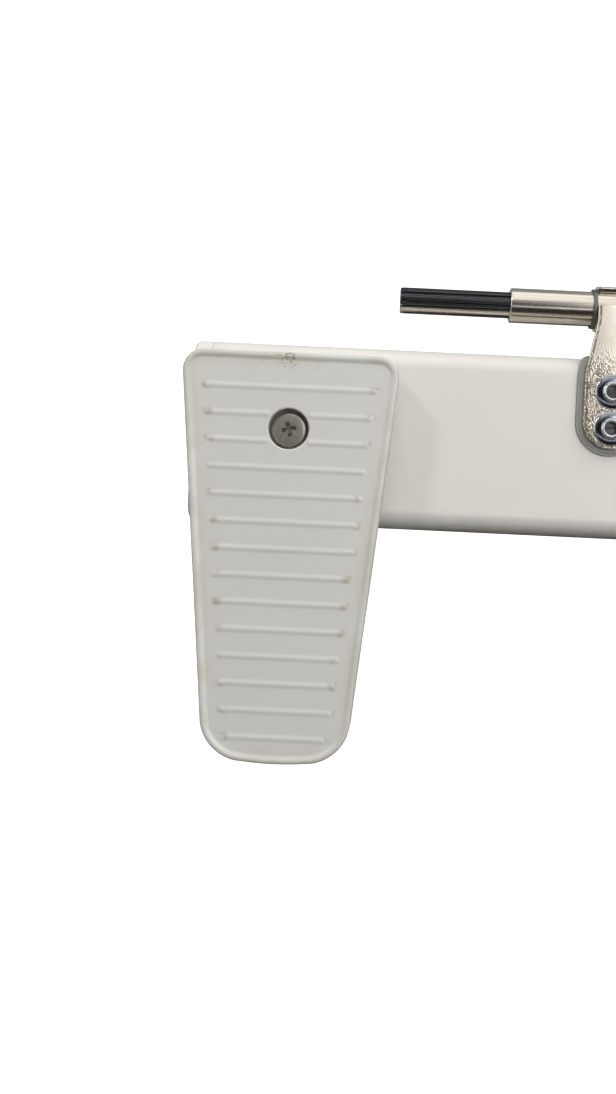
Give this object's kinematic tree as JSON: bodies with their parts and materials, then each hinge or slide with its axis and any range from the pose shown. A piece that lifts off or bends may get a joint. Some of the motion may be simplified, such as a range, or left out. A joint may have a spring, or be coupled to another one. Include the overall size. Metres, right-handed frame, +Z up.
{
  "type": "stair gate latch",
  "caption": "White drop bar hung on a sleeve with a sprung fluted bolt, and a ribbed paddle that turns on the bar's end as a second catch.",
  "frame": {"origin": "on the sleeve's axis, at the barrel end of the part of the sleeve that a clamp holds", "axes": "+X along the bar from its paddle end towards the knob, +Z up, the front with the paddle faces -Y, and the bolt shoots towards -X"},
  "size_m": [0.1405, 0.0272, 0.1131],
  "materials": {
    "bright_nickel": "drawn bright nickel plate",
    "pitted_nickel": "nickel plate over a pitted casting-like skin",
    "bright_rivet": "polished",
    "dark_steel": "blackened, oiled",
    "spring_steel": "plain",
    "zinc_steel": "zinc plated",
    "dull_steel": "dull stainless",
    "yellow_zinc": "yellow passivated",
    "brass": "turned",
    "white_coat": "satin powder coat",
    "white_plastic": "satin",
    "paddle_plastic": "satin, faintly yellowed",
    "natural_nylon": "satin",
    "black_plastic": "fine texture",
    "grey_pad": "matt",
    "soft_rubber": "matt"
  },
  "bodies": {
    "spindle": {"spindle_sleeve": "bright_nickel", "sleeve_plug": "brass", "bolt_spring": "spring_steel", "snap_ring": "spring_steel", "retaining_ring": "spring_steel", "thrust_washer": "natural_nylon"},
    "bolt": {"bolt_rod": "dark_steel", "pull_knob": "black_plastic", "knob_pin": "zinc_steel"},
    "bar": {"rail": "white_coat", "rail_cap_left": "white_plastic", "rail_cap_right": "white_plastic", "hinge_bracket": "pitted_nickel", "bracket_pad": "grey_pad", "bracket_rivets": "bright_rivet", "rivet_mandrels": "dark_steel", "pivot_insert": "yellow_zinc", "pivot_bush": "zinc_steel", "friction_washer": "spring_steel", "pivot_washer": "dull_steel", "pivot_screw": "dull_steel", "stop_pin": "zinc_steel"},
    "paddle": {"paddle_front": "paddle_plastic", "paddle_back": "paddle_plastic", "paddle_screws": "zinc_steel", "paddle_bumpers": "soft_rubber"}
  },
  "joints": [
    {"name": "bolt_slide", "type": "slide", "parent": "spindle", "child": "bolt", "axis": [1, 0, 0], "range_m": [0, 0.018], "stiffness_N_per_m": 400, "springref_m": -0.012, "deforming": ["bolt_spring"]},
    {"name": "bar_swing", "type": "hinge", "parent": "spindle", "child": "bar", "pos_m": [0.00495, 0, 0], "axis": [-1, 0, 0], "range_deg": [0, 180]},
    {"name": "paddle_turn", "type": "hinge", "parent": "bar", "child": "paddle", "pos_m": [-0.0676, -0.007, -0.0325], "axis": [0, -1, 0], "range_deg": [-90, 90]}
  ]
}
